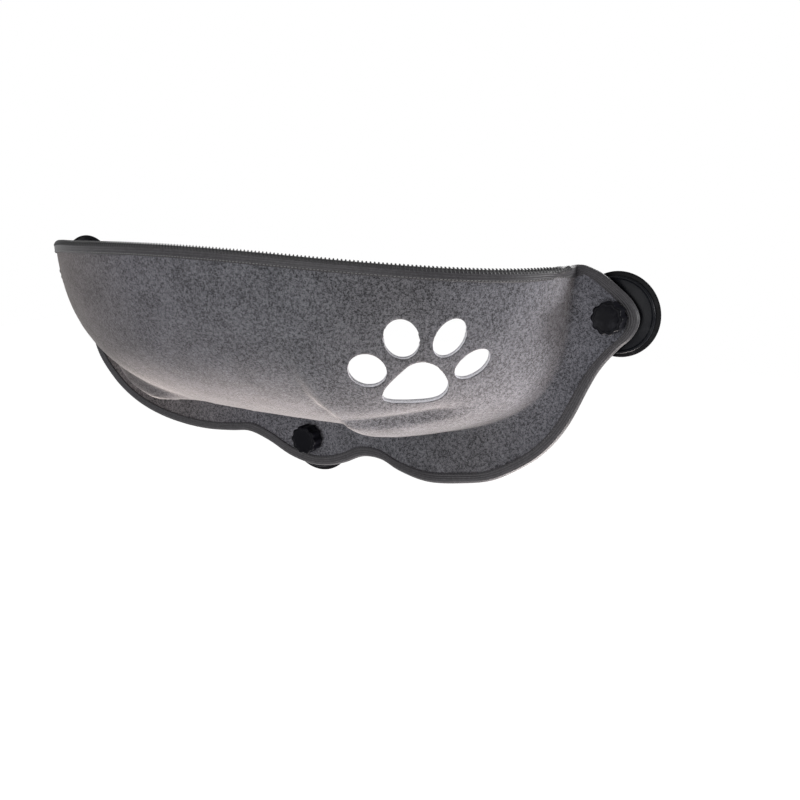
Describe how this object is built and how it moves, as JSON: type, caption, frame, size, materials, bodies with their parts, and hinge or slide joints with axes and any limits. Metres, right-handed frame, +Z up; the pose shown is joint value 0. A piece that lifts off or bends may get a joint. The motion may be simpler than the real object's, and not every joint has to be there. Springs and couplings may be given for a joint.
{
  "type": "window mounted cat perch",
  "caption": "Felt hammock for a cat that hangs on a window pane: a bound felt sheet shaped into a pouch, with a paw cut-out, clamped by scalloped knobs to rubber suction cups.",
  "frame": {"origin": "on the plane of the window glass, midway between the axes of the two upper suction cups", "axes": "+Y into the glass, so the room is at negative Y; +X from the left cup to the right cup as seen from the room; +Z up"},
  "size_m": [0.67, 0.203, 0.2366],
  "materials": {
    "felt": "mottled mid grey needle felt, matt and hairy",
    "binding_tape": "dark grey woven binding tape, stitched",
    "cup_rubber": "smooth black soft rubber with a satin shine",
    "cap_plastic": "moulded black plastic, satin gloss",
    "stud_steel": "plated steel",
    "eyelet_metal": "blackened metal",
    "washer_plastic": "matt black plastic",
    "knob_plastic": "moulded black plastic with a fine grain",
    "insert_brass": "turned brass"
  },
  "bodies": {
    "perch": {"felt_sheet": "felt", "edge_binding": "binding_tape", "suction_disc_left": "cup_rubber", "pressure_cap_left": "cap_plastic", "stud_left": "stud_steel", "eyelet_left": "eyelet_metal", "suction_disc_right": "cup_rubber", "pressure_cap_right": "cap_plastic", "stud_right": "stud_steel", "eyelet_right": "eyelet_metal", "suction_disc_bottom": "cup_rubber", "pressure_cap_bottom": "cap_plastic", "stud_bottom": "stud_steel", "eyelet_bottom": "eyelet_metal"},
    "clamp_washer_left": {"washer_left": "washer_plastic"},
    "clamp_knob_left": {"knob_left": "knob_plastic", "knob_insert_left": "insert_brass"},
    "clamp_washer_right": {"washer_right": "washer_plastic"},
    "clamp_knob_right": {"knob_right": "knob_plastic", "knob_insert_right": "insert_brass"},
    "clamp_washer_bottom": {"washer_bottom": "washer_plastic"},
    "clamp_knob_bottom": {"knob_bottom": "knob_plastic", "knob_insert_bottom": "insert_brass"}
  },
  "joints": [
    {"name": "clamp_lift_left", "type": "slide", "parent": "perch", "child": "clamp_washer_left", "axis": [0, -1, 0], "range_m": [0, 0.008]},
    {"name": "knob_turn_left", "type": "hinge", "parent": "clamp_washer_left", "child": "clamp_knob_left", "pos_m": [-0.299, -0.0245, 0], "axis": [0, -1, 0], "range_deg": [0, 2881]},
    {"name": "clamp_lift_right", "type": "slide", "parent": "perch", "child": "clamp_washer_right", "axis": [0, -1, 0], "range_m": [0, 0.008]},
    {"name": "knob_turn_right", "type": "hinge", "parent": "clamp_washer_right", "child": "clamp_knob_right", "pos_m": [0.299, -0.0245, 0], "axis": [0, -1, 0], "range_deg": [0, 2881]},
    {"name": "clamp_lift_bottom", "type": "slide", "parent": "perch", "child": "clamp_washer_bottom", "axis": [0, -1, 0], "range_m": [0, 0.008]},
    {"name": "knob_turn_bottom", "type": "hinge", "parent": "clamp_washer_bottom", "child": "clamp_knob_bottom", "pos_m": [0, -0.0245, -0.143], "axis": [0, -1, 0], "range_deg": [0, 2881]}
  ],
  "couplings": [
    {"joint": "knob_turn_left", "follows": "clamp_lift_left", "rad_per_m": 6283.2},
    {"joint": "knob_turn_right", "follows": "clamp_lift_right", "rad_per_m": 6283.2},
    {"joint": "knob_turn_bottom", "follows": "clamp_lift_bottom", "rad_per_m": 6283.2}
  ]
}
